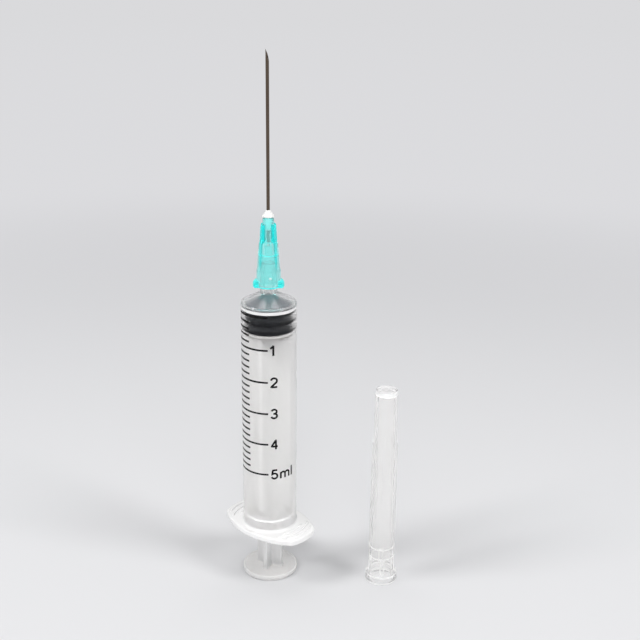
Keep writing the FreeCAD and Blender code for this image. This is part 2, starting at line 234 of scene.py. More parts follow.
# Printed scale
MARK_W = 0.36
MARK_START = radians(-169.5)
LONG_MARK = radians(78.5)
SHORT_MARK = radians(36.5)
MARKS_PER_ML = 5
CAPACITY_ML = 5
ZERO_Z = MARKS_HIGH[2] - MARK_W / 2
MARK_PITCH = (ZERO_Z - MARKS_LOW[2] - MARK_W / 2) / (CAPACITY_ML * MARKS_PER_ML)
INK_UNDER = 0.006
INK_OVER = 0.036
DIGIT_H = 2.9
DIGIT_STROKE = 0.5
LINE_STROKE = 0.48
DIGIT_START = radians(-85.0)

ARC_STEPS = 6


# Profiles and skins

def filleted(points, steps=ARC_STEPS):
    """A profile of (radius, height, fillet) corners as (radius, height) rows, each fillet as an arc."""
    rows = []
    for i, (radius, height, fillet) in enumerate(points):
        corner = np.array((radius, height), float)
        if fillet == 0 or i in (0, len(points) - 1):
            rows.append(corner)
            continue
        before = np.array(points[i - 1][:2]) - corner
        after = np.array(points[i + 1][:2]) - corner
        before /= np.linalg.norm(before)
        after /= np.linalg.norm(after)
        half = acos(max(-1.0, min(1.0, float(before @ after)))) / 2
        middle = (before + after) / np.linalg.norm(before + after)
        centre = corner + middle * fillet / sin(half)
        start = corner + before * fillet / tan(half) - centre
        end = corner + after * fillet / tan(half) - centre
        first = atan2(start[1], start[0])
        turn = (atan2(end[1], end[0]) - first + pi) % (2 * pi) - pi
        for k in range(steps + 1):
            angle = first + turn * k / steps
            rows.append(centre + fillet * np.array((cos(angle), sin(angle))))
    return np.array(rows)


def around(columns):
    """Evenly spaced directions about the axis."""
    return np.linspace(0, 2 * pi, columns, endpoint=False)


def spaced_about(count, near, near_step, far_step):
    """Directions about the axis, close together within near of each of count evenly spaced directions."""
    sector = pi / count
    half = np.concatenate([np.arange(0, near, near_step), np.arange(near, sector, far_step)])
    one = np.concatenate([-half[:0:-1], half])
    return np.concatenate([one + 2 * sector * k for k in range(count)])


def ring(radius, height, angles):
    """A ring of points about the axis. Radius and height are numbers or one value for each direction."""
    radius = np.broadcast_to(radius, angles.shape)
    height = np.broadcast_to(height, angles.shape)
    return np.stack([radius * np.cos(angles), radius * np.sin(angles), height], axis=1)


def off_nearest(angles, count, first=0.0):
    """How far each direction is from the nearest of count evenly spaced directions."""
    pitch = 2 * pi / count
    return np.abs((angles - first + pitch / 2) % pitch - pitch / 2)


def flat_rib(off, half, reach):
    """Radius of the outline of a straight rib of half thickness that ends at reach."""
    side = half / np.maximum(np.sin(off), 1e-6)
    return np.minimum(side, reach)


def piece(name, mesh, material, sharp=35.0):
    """A smooth-shaded object of a mesh in millimetres about the origin."""
    mesh.transform(Matrix.Scale(MM, 4))
    shape = bmesh.new()
    shape.from_mesh(mesh)
    bmesh.ops.remove_doubles(shape, verts=shape.verts, dist=2e-7)
    bmesh.ops.dissolve_degenerate(shape, edges=shape.edges, dist=1e-7)
    bmesh.ops.recalc_face_normals(shape, faces=shape.faces)
    shape.to_mesh(mesh)
    shape.free()
    mesh.shade_smooth()
    mesh.set_sharp_from_angle(angle=radians(sharp))
    made = bpy.data.objects.new(name, mesh)
    bpy.context.scene.collection.objects.link(made)
    made.data.materials.append(material)
    even = made.modifiers.new("flat faces shade flat", "WEIGHTED_NORMAL")
    even.keep_sharp = True
    return made


def noted(mesh, name, values):
    """Keeps one value for each point of a mesh, for its finish to read."""
    kept = mesh.attributes.new(name, "FLOAT", "POINT")
    kept.data.foreach_set("value", np.array(values, dtype=np.float32))


def part_finishes(made, materials, choose):
    """Gives each face the finish chosen for its middle's reach, height and direction from the axis."""
    for finish in materials[1:]:
        made.data.materials.append(finish)
    for face in made.data.polygons:
        x, y, z = face.center / MM
        aside = Vector((x, y, 0))
        face.material_index = materials.index(choose(aside.length, z, aside.normalized()))


def skin(name, rings, closed=False):
    """A mesh through rings of points, joined to the first ring again if closed."""
    rings = np.array(rings)
    count, columns = rings.shape[:2]
    here = np.arange(columns)
    beside = np.roll(here, -1)
    faces = []
    for i in range(count if closed else count - 1):
        low = i * columns
        high = (i + 1) % count * columns
        faces.append(np.stack([low + here, low + beside, high + beside, high + here], axis=1))
    mesh = bpy.data.meshes.new(name)
    mesh.from_pydata(rings.reshape(-1, 3).tolist(), [], np.concatenate(faces).tolist())
    return mesh


def turned(name, profile, columns=192, closed=False):
    """A mesh turned about the axis from (radius, height) rows."""
    angles = around(columns)
    return skin(name, [ring(radius, height, angles) for radius, height in profile], closed)


# Barrel

def shoulder_inside(radius):
    """Height of the barrel's inner cone."""
    return CORNER_Z + (BORE_R - radius) * SHOULDER_SLOPE


def shoulder_outside(radius):
    """Height of the barrel's outer cone."""
    return TIP_ROOT_Z + (TIP_ROOT_R - radius) * SHOULDER_SLOPE


def flange_edge(angles):
    """Reach of the finger flange: two wings, two bowed sides and four rounded corners."""
    across = np.abs(np.sin(angles - FLANGE_TURN))
    bow = FLANGE_SIDE_R - FLANGE_HALF_WIDTH
    side = np.sqrt(FLANGE_SIDE_R ** 2 - bow ** 2 * (1 - across ** 2)) - bow * across
    edge = np.minimum(side, FLANGE_WING_R)
    centre_r = FLANGE_WING_R - FLANGE_CORNER_R
    side_r = FLANGE_SIDE_R - FLANGE_CORNER_R
    centre_y = (side_r ** 2 - centre_r ** 2 - bow ** 2) / (2 * bow)
    centre_x = sqrt(centre_r ** 2 - centre_y ** 2)
    start = asin(centre_y / centre_r)
    end = atan2(centre_y + FLANGE_CORNER_R * (centre_y + bow) / side_r,
                centre_x + FLANGE_CORNER_R * centre_x / side_r)
    turn = np.arcsin(across)
    swing = centre_r * np.sin(turn - start)
    corner = centre_r * np.cos(turn - start) + np.sqrt(np.maximum(FLANGE_CORNER_R ** 2 - swing ** 2, 0))
    return np.where((turn > start) & (turn < end), corner, edge)


def grip_height(radius, edge, angles):
    """Height of the grip ridges above the flange's upper face."""
    height = np.zeros_like(radius)
    for i in range(GRIP_COUNT):
        off = np.abs(radius - GRIP_FIRST_R - i * GRIP_PITCH) / GRIP_HALF
        height = np.maximum(height, 1 - np.minimum(off, 1) ** 3)
    along = np.abs(radius * np.cos(angles - FLANGE_TURN))
    room = np.minimum(edge - radius - GRIP_MARGIN, along - GRIP_FIRST_R + GRIP_PITCH / 2)
    return GRIP_H * height * np.clip(room / GRIP_END, 0, 1)


def barrel_moulding(tube_finish, flange_and_keeper_highlight_finish, tip_finish, shoulder_highlight_finish):
    """Tube, cone, slip tip and finger flange as one closed skin."""
    angles = around(384)
    edge = flange_edge(angles)
    mouth_r = BORE_R + MOUTH_WIDENING
    keeper_r = BORE_R - KEEPER_H
    keeper_z = FLANGE_Z + KEEPER_UP
    first_grip = GRIP_FIRST_R - GRIP_HALF
    tube = filleted([
        (mouth_r + MOUTH_CHAMFER, FLANGE_Z, 0),
        (mouth_r, FLANGE_Z + MOUTH_CHAMFER, 0.2),
        (mouth_r, keeper_z - KEEPER_HALF, 0.15),
        (keeper_r, keeper_z - KEEPER_CREST, 0.12),
        (keeper_r, keeper_z + KEEPER_CREST, 0.12),
        (BORE_R, keeper_z + KEEPER_HALF, 0.15),
        (BORE_R, CORNER_Z, 0.2),
        (TIP_BORE_R, shoulder_inside(TIP_BORE_R), 0.3),
        (TIP_BORE_R, TIP_END_Z, 0.1),
        (TIP_END_R, TIP_END_Z, 0.2),
        (TIP_ROOT_R, TIP_ROOT_Z, 0.3),
        (BARREL_R, shoulder_outside(BARREL_R), SHOULDER_EDGE_ROUND),
        (BARREL_R, SHOULDER_HIGHLIGHT_TOP, 0),
        (BARREL_R, SHOULDER_HIGHLIGHT_LOW, 0),
        (BARREL_R, FLANGE_TOP, FLANGE_ROOT_ROUND),
        (first_grip, FLANGE_TOP, 0),
    ])
    rings = [ring(radius, height, angles) for radius, height in tube]
    limit = edge - FLANGE_RIM_ROUND
    grip_steps = np.linspace(-GRIP_HALF, GRIP_HALF, 9)
    for radius in np.concatenate([GRIP_FIRST_R + i * GRIP_PITCH + grip_steps for i in range(GRIP_COUNT)]):
        reach = np.minimum(radius, limit)
        rings.append(ring(reach, FLANGE_TOP + grip_height(reach, edge, angles), angles))
    for up in (1, -1):
        for k in range(ARC_STEPS + 1):
            turn = pi / 2 * (k if up > 0 else ARC_STEPS - k) / ARC_STEPS
            middle = FLANGE_Z + FLANGE_T / 2 + up * (FLANGE_T / 2 - FLANGE_RIM_ROUND)
            reach = limit + FLANGE_RIM_ROUND * sin(turn)
            rings.append(ring(reach, middle + up * FLANGE_RIM_ROUND * cos(turn), angles))
    made = piece("barrel_moulding", skin("barrel_moulding", rings, closed=True), tube_finish)

    def region(reach, height, aside):
        # The band under the shoulder's edge gets a nearly opaque white finish, a painted highlight.
        if reach > BARREL_R - 0.1 and SHOULDER_HIGHLIGHT_LOW < height < SHOULDER_HIGHLIGHT_TOP:
            return shoulder_highlight_finish
        if height > CORNER_Z - 0.6:
            return tip_finish
        # Inside the bore the keeper ridge gets the flange's milky white finish as a painted highlight.
        # Outside, the flange and its root are milky plastic.
        if reach < mouth_r + 0.01:
            whitened = abs(height - keeper_z) < KEEPER_HALF
        else:
            whitened = height < FLANGE_TOP + FLANGE_ROOT_ROUND
        return flange_and_keeper_highlight_finish if whitened else tube_finish

    part_finishes(made, (tube_finish, flange_and_keeper_highlight_finish, tip_finish, shoulder_highlight_finish), region)
    return made


# Printed scale

def bend(centre, radii, start, end, steps=14):
    """Points along part of an ellipse, from start to end in degrees."""
    return [(centre[0] + radii[0] * cos(radians(a)), centre[1] + radii[1] * sin(radians(a)))
            for a in np.linspace(start, end, steps)]


def digit_strokes():
    """Centre lines of the plain numbers on the scale, each in a box as high as a digit."""
    h = DIGIT_H - DIGIT_STROKE
    return {
        "1": [[(-0.1, 0.74 * h), (0.36, 0.87 * h), (0.66, h + 0.12)], [(0.66, h + 0.15), (0.66, -0.15)]],
        "2": [bend((0.8, 0.7 * h), (0.75, 0.3 * h), 170, -28) + [(0.03, 0.0), (1.62, 0.0)]],
        "3": [bend((0.8, 0.755 * h), (0.65, 0.245 * h), 165, -92) + [(0.6, 0.51 * h)],
              bend((0.8, 0.26 * h), (0.75, 0.26 * h), 95, -163)],
        "4": [[(1.22, -0.15), (1.22, h), (0.08, 0.27 * h), (1.68, 0.27 * h)]],
        "5": [[(1.52, h), (0.4, h), (0.2, 0.42 * h)] + bend((0.82, 0.31 * h), (0.75, 0.31 * h), 140, -163)],
        "m": [[(0.0, -0.15), (0.0, 0.68 * h)],
              [(0.0, 0.4 * h)] + bend((0.62, 0.42 * h), (0.62, 0.26 * h), 160, 0) + [(1.24, -0.15)],
              [(1.24, 0.4 * h)] + bend((1.86, 0.42 * h), (0.62, 0.26 * h), 160, 0) + [(2.48, -0.15)]],
        "l": [[(0.0, -0.15), (0.0, h + 0.15)]],
    }


def resampled(points, step=0.25):
    """The same line with points close enough to follow the barrel's round."""
    rows = [np.array(points[0], float)]
    for point in points[1:]:
        start = rows[-1]
        end = np.array(point, float)
        parts = max(1, int(np.ceil(np.linalg.norm(end - start) / step)))
        rows += [start + (end - start) * k / parts for k in range(1, parts + 1)]
    return np.array(rows)


def inked_line(points, width):
    """Vertices and faces of one printed line round the barrel. Points are (round, up)."""
    line = resampled(points)
    along = np.gradient(line, axis=0)
    along /= np.linalg.norm(along, axis=1)[:, None]
    across = np.stack([-along[:, 1], along[:, 0]], axis=1) * width / 2
    verts = []
    for side, radius in ((1, INK_UNDER), (-1, INK_UNDER), (-1, INK_OVER), (1, INK_OVER)):
        edge = line + side * across
        turn = edge[:, 0] / BARREL_R
        reach = BARREL_R + radius
        verts.append(np.stack([reach * np.cos(turn), reach * np.sin(turn), edge[:, 1]], axis=1))
    verts = np.stack(verts, axis=1).reshape(-1, 3)
    faces = [(0, 1, 2, 3), tuple(len(verts) - 1 - k for k in range(4))]
    for i in range(len(line) - 1):
        for k in range(4):
            faces.append((4 * i + k, 4 * i + (k + 1) % 4, 4 * i + 4 + (k + 1) % 4, 4 * i + 4 + k))
    return verts, faces


def scale_print(material):
    """Every line and number of the scale, in ink on the tube."""
    lines = []
    for i in range(CAPACITY_ML * MARKS_PER_ML + 1):
        height = ZERO_Z - i * MARK_PITCH
        reach = LONG_MARK if i % MARKS_PER_ML == 0 else SHORT_MARK
        start = MARK_START * BARREL_R
        lines.append([(start, height), (start + reach * BARREL_R, height)])
    strokes = digit_strokes()
    for millilitre in range(1, CAPACITY_ML + 1):
        label = [(str(millilitre), 0.0)]
        if millilitre == CAPACITY_ML:
            label += [("m", 2.51), ("l", 5.97)]
        base = ZERO_Z - millilitre * MARKS_PER_ML * MARK_PITCH - (DIGIT_H - DIGIT_STROKE) / 2
        for sign, aside in label:
            for stroke in strokes[sign]:
                lines.append([(DIGIT_START * BARREL_R + aside + x, base + y) for x, y in stroke])
    verts = []
    faces = []
    for i, line in enumerate(lines):
        width = LINE_STROKE if len(line) == 2 and line[0][1] == line[1][1] else DIGIT_STROKE
        more, sides = inked_line(line, width)
        faces += [tuple(len(verts) + v for v in side) for side in sides]
        verts += more.tolist()
    mesh = bpy.data.meshes.new("scale_print")
    mesh.from_pydata(verts, [], faces)
    made = piece("scale_print", mesh, material)
    made.visible_shadow = False
    return made


# Plunger

def rod_angles(reach):
    """Directions of the points of the crossed ribs' outline, dense at the ribs' edges."""
    corner = asin(RIB_HALF / reach)
    tip = corner * np.array((0, 0.4, 0.7, 0.88, 1.0, 1.12, 1.3))
    side = np.linspace(corner * 1.5, pi / 4, 13)
    half = np.concatenate([tip, side])
    quarter = np.concatenate([half, pi / 2 - half[-2:0:-1]])
    return RIB_TURN + np.concatenate([quarter + pi / 2 * k for k in range(4)])


def crossed_ribs(reach, height, spread=0.0):
    """The outline of the two crossed ribs at one height, spread outwards at a fillet."""
    angles = rod_angles(reach)
    off = off_nearest(angles, 4, RIB_TURN)
    half = RIB_HALF + spread
    near = half / np.maximum(np.sin(off), 1e-6)
    far = half / np.maximum(np.cos(off), 1e-6)
    side = (near ** 10 + far ** 10) ** 0.1
    radius = (side ** -24.0 + (reach + spread) ** -24.0) ** (-1 / 24)
    return ring(radius, height, angles)


def plunger_moulding(rib_finish, thumb_shade_finish, collar_shade_finish):
    """Thumb disc, crossed ribs that widen above the neck, collar, stem and head in one skin."""
    neck = rod_angles(NECK_RIB_R)
    wide = rod_angles(GUIDE_R)
    rim_z = THUMB_T + THUMB_RIM_H
    disc = filleted([
        (0, 0, 0),
        (THUMB_R, 0, 0.35),
        (THUMB_R, rim_z, 0.25),
        (THUMB_R - THUMB_RIM_W + 0.1, rim_z, 0.12),
        (THUMB_R - THUMB_RIM_W - 0.15, THUMB_T, 0.2),
        (NECK_RIB_R + 1.2, THUMB_T, 0),
    ])
    rings = [ring(radius, height, neck) for radius, height in disc]
    for k in range(ARC_STEPS + 1):
        turn = pi / 2 * k / ARC_STEPS
        spread = RIB_ROOT_ROUND * (1 - sin(turn))
        rings.append(crossed_ribs(NECK_RIB_R, THUMB_T + RIB_ROOT_ROUND * (1 - cos(turn)), spread))
    for k in range(25):
        share = k / 24
        reach = NECK_RIB_R + (GUIDE_R - NECK_RIB_R) * (3 - 2 * share) * share ** 2
        rings.append(crossed_ribs(reach, THUMB_T + NECK_LENGTH + NECK_WIDENING * share))
    collar_z = SEAT_Z - COLLAR_T
    for k in range(5):
        turn = pi / 2 * k / 4
        rings.append(crossed_ribs(GUIDE_R, collar_z - 0.25 + 0.25 * sin(turn), 0.25 * (1 - cos(turn)) * 0.4))
    stem_z = SEAT_Z + STEM_H
    edge_z = stem_z + HEAD_EDGE_H
    top = filleted([
        (COLLAR_R, collar_z, 0),
        (COLLAR_R, collar_z + COLLAR_SHADE_H, 0),
        (COLLAR_R, SEAT_Z - 0.01, 0.1),
        (STEM_R, SEAT_Z - 0.01, 0.1),
        (STEM_R, stem_z, 0.1),
        (HEAD_R, stem_z, 0.15),
        (HEAD_R, edge_z, 0.2),
        (HEAD_TOP_R, edge_z + HEAD_CONE_H, 0.2),
        (0, edge_z + HEAD_CONE_H, 0),
    ])
    rings += [ring(radius, height, wide) for radius, height in top]
    made = piece("plunger_moulding", skin("plunger_moulding", rings), rib_finish)

    def region(reach, height, aside):
        # The dark grey band at the collar's lower edge is painted shade.
        if reach > GUIDE_R and collar_z < height < collar_z + COLLAR_SHADE_H:
            return collar_shade_finish
        # The thumb disc, the collar's top and the head get the darker copy of the rib plastic: painted
        # shade.
        return thumb_shade_finish if height < rim_z or height > collar_z - 0.05 else rib_finish

    part_finishes(made, (rib_finish, thumb_shade_finish, collar_shade_finish), region)
    return made


def stopper_rubber(groove_finish, lip_shade_finish, nose_sheen_finish):
    """Rubber piston with three sealing lips, a front cone and a pocket for the plunger's head."""
    gap = 0.05
    stem_z = SEAT_Z + STEM_H - gap
    edge_z = SEAT_Z + STEM_H + HEAD_EDGE_H
    profile = [
        (0, edge_z + HEAD_CONE_H + gap, 0),
        (HEAD_TOP_R + gap, edge_z + HEAD_CONE_H + gap, 0.2),
        (HEAD_R + gap, edge_z, 0.2),
        (HEAD_R + gap, stem_z, 0.1),
        (STEM_R + gap, stem_z, 0.1),
        (STEM_R + gap, SEAT_Z, 0.15),
        (GROOVE_R, SEAT_Z, 0),
    ]
    for i in range(LIP_COUNT):
        middle = SEAT_Z + LIP_FIRST + i * LIP_PITCH
        profile += [
            (GROOVE_R, middle - LIP_HALF + 0.02, 0.12 if i else 0),
            (LIP_R, middle - LIP_CREST, 0.1),
            (LIP_R, middle + LIP_CREST, 0.1),
            (GROOVE_R, middle + LIP_HALF, 0.12),
        ]
    profile += [
        (GROOVE_R, shoulder_inside(GROOVE_R) - NOSE_GAP, 0.5),
        (NOSE_FLAT_R, shoulder_inside(NOSE_FLAT_R) - NOSE_GAP, 0.3),
        (0, shoulder_inside(NOSE_FLAT_R) - NOSE_GAP, 0),
    ]
    made = piece("stopper_rubber", turned("stopper_rubber", filleted(profile)), groove_finish)
    nose_z = shoulder_inside(GROOVE_R) - NOSE_GAP - 0.2

    def region(reach, height, aside):
        # Faces above nose_z get lighter bluish tones: a painted sheen.
        if height > nose_z:
            return nose_sheen_finish
        # The lips get near-black tones, darker than the grooves of the same rubber: painted shade where they
        # press on the bore.
        return lip_shade_finish if reach > GROOVE_R + 0.2 else groove_finish

    part_finishes(made, (groove_finish, lip_shade_finish, nose_sheen_finish), region)
    return made


# Needle

def hub_moulding(body_finish, rim_highlight_finish, gate_highlight_finish):
    """Tinted hub with two lugs, four fins, a luer socket and the adhesive's well, in one closed skin."""
    angles = spaced_about(FIN_COUNT, radians(16), radians(0.5), radians(1.5)) + FIN_TURN
    fin_off = off_nearest(angles, FIN_COUNT, FIN_TURN)
    lug_off = off_nearest(angles, 2)
    ledge_r = SKIRT_R - LEDGE
    fin_top_z = HUB_TOP_Z - FIN_DROP
    socket_r = TIP_HUB_R + SOCKET_GAP
    socket_end = HUB_Z + SOCKET_DEPTH
    chamber_top = socket_end + CHAMBER_H
    well_floor = HUB_TOP_Z - WELL_DEPTH
    lug_end = LUG_H + 0.3
    cone_rows = [(ledge_r + (CONE_TOP_R - ledge_r) * share, LEDGE_Z + CONE_H * share, 0)
                 for share in (0.1, 0.25, 0.45, 0.7)]
    outside = filleted([
        (SKIRT_R, LEDGE_Z - 0.25, 0),
        (SKIRT_R, LEDGE_Z, 0.06),
        (ledge_r, LEDGE_Z, 0.05),
        *cone_rows,
        (CONE_TOP_R, CONE_TOP_Z, 0.7),
        (NECK_R, CONE_TOP_Z, 0.25),
        (NECK_R, fin_top_z - FIN_ROUND, 0),
    ])
    inside = filleted([
        (NECK_R, HUB_TOP_Z, 0.12),
        (WELL_R, HUB_TOP_Z, 0.08),
        (WELL_R, well_floor, 0.15),
        (NEEDLE_R + 0.01, well_floor, 0.05),
        (NEEDLE_R + 0.01, chamber_top, 0.1),
        (CHAMBER_R, chamber_top - CHAMBER_R / 2, 0.2),
        (CHAMBER_R, socket_end, 0.1),
        (socket_r - SOCKET_DEPTH * LUER_SLOPE, socket_end, 0.1),
        (socket_r, HUB_Z, 0.15),
        (SKIRT_R, HUB_Z, 0),
    ])

    def fin_reach(height):
        if height < LEDGE_Z or height > fin_top_z:
            return 0.0
        if height < CONE_TOP_Z:
            return ledge_r + (FIN_MID_R - ledge_r) * (height - LEDGE_Z) / CONE_H
        reach = FIN_MID_R + (FIN_TOP_R - FIN_MID_R) * (height - CONE_TOP_Z) / (fin_top_z - CONE_TOP_Z)
        into = max(0.0, height - fin_top_z + FIN_ROUND)
        return reach - FIN_ROUND + sqrt(FIN_ROUND ** 2 - into ** 2)

    def lug_reach(up):
        if up < LUG_ROUND_START:
            return LUG_R
        share = (up - LUG_ROUND_START) / (lug_end - LUG_ROUND_START)
        return SKIRT_R + (LUG_R - SKIRT_R) * (1 - share ** 2.4) ** (1 / 2.4)

    rings = []
    depths = []

    def add(body, rib, height, least=0.0):
        reach = np.maximum(body, rib)
        off = np.hypot((angles - GATE_TURN + pi) % (2 * pi) - pi, (height - HUB_Z - GATE_UP) / body) * body
        if body > CONE_TOP_R and height < LEDGE_Z:
            reach = reach + GATE_H * np.clip(1 - (off / GATE_R) ** 4, 0, 1)
        rings.append(ring(reach, height, angles))
        depth = (np.broadcast_to(reach, angles.shape) - body) / DEEP_TINT
        if LEDGE_Z < height < fin_top_z and body > CHAMBER_R:
            beside = body * np.sin(np.minimum(fin_off, pi / 2))
            fade = min(1.0, (height - LEDGE_Z) / FIN_TINT_FADE)
            depth = np.maximum(depth, fade * (FIN_TINT_HALF - beside) / FIN_TINT_SOFT)
        depths.append(np.clip(depth, least, 1))

    for up in (0.0, 0.05, 0.12, 0.3):
        soft = 0.12 * (1 - sqrt(1 - (1 - min(up, 0.12) / 0.12) ** 2))
        add(SKIRT_R - soft, flat_rib(lug_off, LUG_HALF - soft, LUG_R - soft), HUB_Z + up, 0.9 - 2 * up)
    for up in np.concatenate([np.linspace(0.4, lug_end, 20), [lug_end + 0.02]]):
        add(SKIRT_R, flat_rib(lug_off, LUG_HALF, lug_reach(min(up, lug_end))), HUB_Z + up)
    for up in np.linspace(GATE_UP - 1.2 * GATE_R, GATE_UP + 1.2 * GATE_R, 13):
        add(SKIRT_R, 0.0, HUB_Z + up)
    for radius, height in outside:
        add(radius, flat_rib(fin_off, FIN_HALF, fin_reach(height)), height)
    for height in fin_top_z - FIN_ROUND * (1 - np.sin(np.linspace(0, pi / 2, 9))):
        add(NECK_R, flat_rib(fin_off, FIN_HALF, fin_reach(height)), height)
    add(NECK_R, 0.0, fin_top_z + 0.01)
    add(NECK_R, 0.0, HUB_TOP_Z - 0.4)
    for radius, height in inside[1:-1]:
        rings.append(ring(radius, height, angles))
        depths.append(np.zeros(angles.shape))
    mesh = skin("hub_moulding", rings, closed=True)
    noted(mesh, "tint depth", np.concatenate(depths))
    made = piece("hub_moulding", mesh, body_finish, sharp=40.0)
    gate_way = Vector((cos(GATE_TURN), sin(GATE_TURN), 0))

    def region(reach, height, aside):
        # The gate mark's faces get a near-white finish: a painted highlight.
        if reach > SKIRT_R and height > HUB_Z + LUG_H + 0.4 and aside.dot(gate_way) > 0.97:
            return gate_highlight_finish
        # The socket's end ledge and the mouth rim get a bright saturated finish: the thick rim's deeper
        # tint, painted brighter as a highlight.
        on_ledge = abs(height - socket_end) < 0.12 and reach < 1.5
        on_mouth = height < HUB_Z + 0.4 and reach > socket_r + 0.1
        return rim_highlight_finish if on_ledge or on_mouth else body_finish

    part_finishes(made, (body_finish, rim_highlight_finish, gate_highlight_finish), region)
    return made


def point_height(x, y):
    """Height of the needle's ground faces above a place in the cannula's cross-section."""
    lowest = np.full(np.shape(x), np.inf)
    faces = ((0.0, BEVEL_LENGTH), (-LANCET_TURN, BEVEL_LENGTH - LANCET_LENGTH),
             (LANCET_TURN, BEVEL_LENGTH - LANCET_LENGTH))
    for turn, length in faces:
        across = x * cos(BEVEL_TURN + turn) + y * sin(BEVEL_TURN + turn)
        lowest = np.minimum(lowest, POINT_Z - length * (across + NEEDLE_R) / (2 * NEEDLE_R))
    return lowest


def cannula_tube(material):
    """Steel tube with a ground lancet point."""
    angles = around(96)
    start = HUB_Z + NEEDLE_START
    rings = [ring(NEEDLE_BORE_R, start, angles), ring(NEEDLE_R, start, angles)]
    shoulder = POINT_Z - BEVEL_LENGTH - 0.2
    rings += [ring(NEEDLE_R, height, angles) for height in np.linspace(start + 1, shoulder, 24)]
    for radius in (NEEDLE_R, NEEDLE_R - 0.02, NEEDLE_BORE_R + 0.01, NEEDLE_BORE_R):
        top = point_height(radius * np.cos(angles), radius * np.sin(angles))
        rings.append(ring(radius, top, angles))
    rings.append(ring(NEEDLE_BORE_R, shoulder, angles))
    return piece("cannula_tube", skin("cannula_tube", rings, closed=True), material, sharp=30.0)


def adhesive_bead(material):
    """Set adhesive that fills the well and climbs the cannula in a hollow cone."""
    well = WELL_R - 0.012
    rise = BEAD_TOP_Z - HUB_TOP_Z - BEAD_LIP
    profile = [
        (NEEDLE_R + 0.004, HUB_TOP_Z - WELL_DEPTH + 0.02),
        (well, HUB_TOP_Z - WELL_DEPTH + 0.02),
        (well, HUB_TOP_Z + 0.005),
        (BEAD_BASE_R - 0.05, HUB_TOP_Z + 0.005),
        (BEAD_BASE_R, HUB_TOP_Z + 0.06),
    ]
    for k in range(13):
        share = k / 12
        radius = BEAD_TOP_R + (BEAD_BASE_R - BEAD_TOP_R) * (1 - share) ** 1.04
        profile.append((radius, HUB_TOP_Z + BEAD_LIP + rise * share))
    profile.append((NEEDLE_R + 0.004, BEAD_TOP_Z))
    return piece("adhesive_bead", turned("adhesive_bead", profile, 96, closed=True), material)


# Needle cap

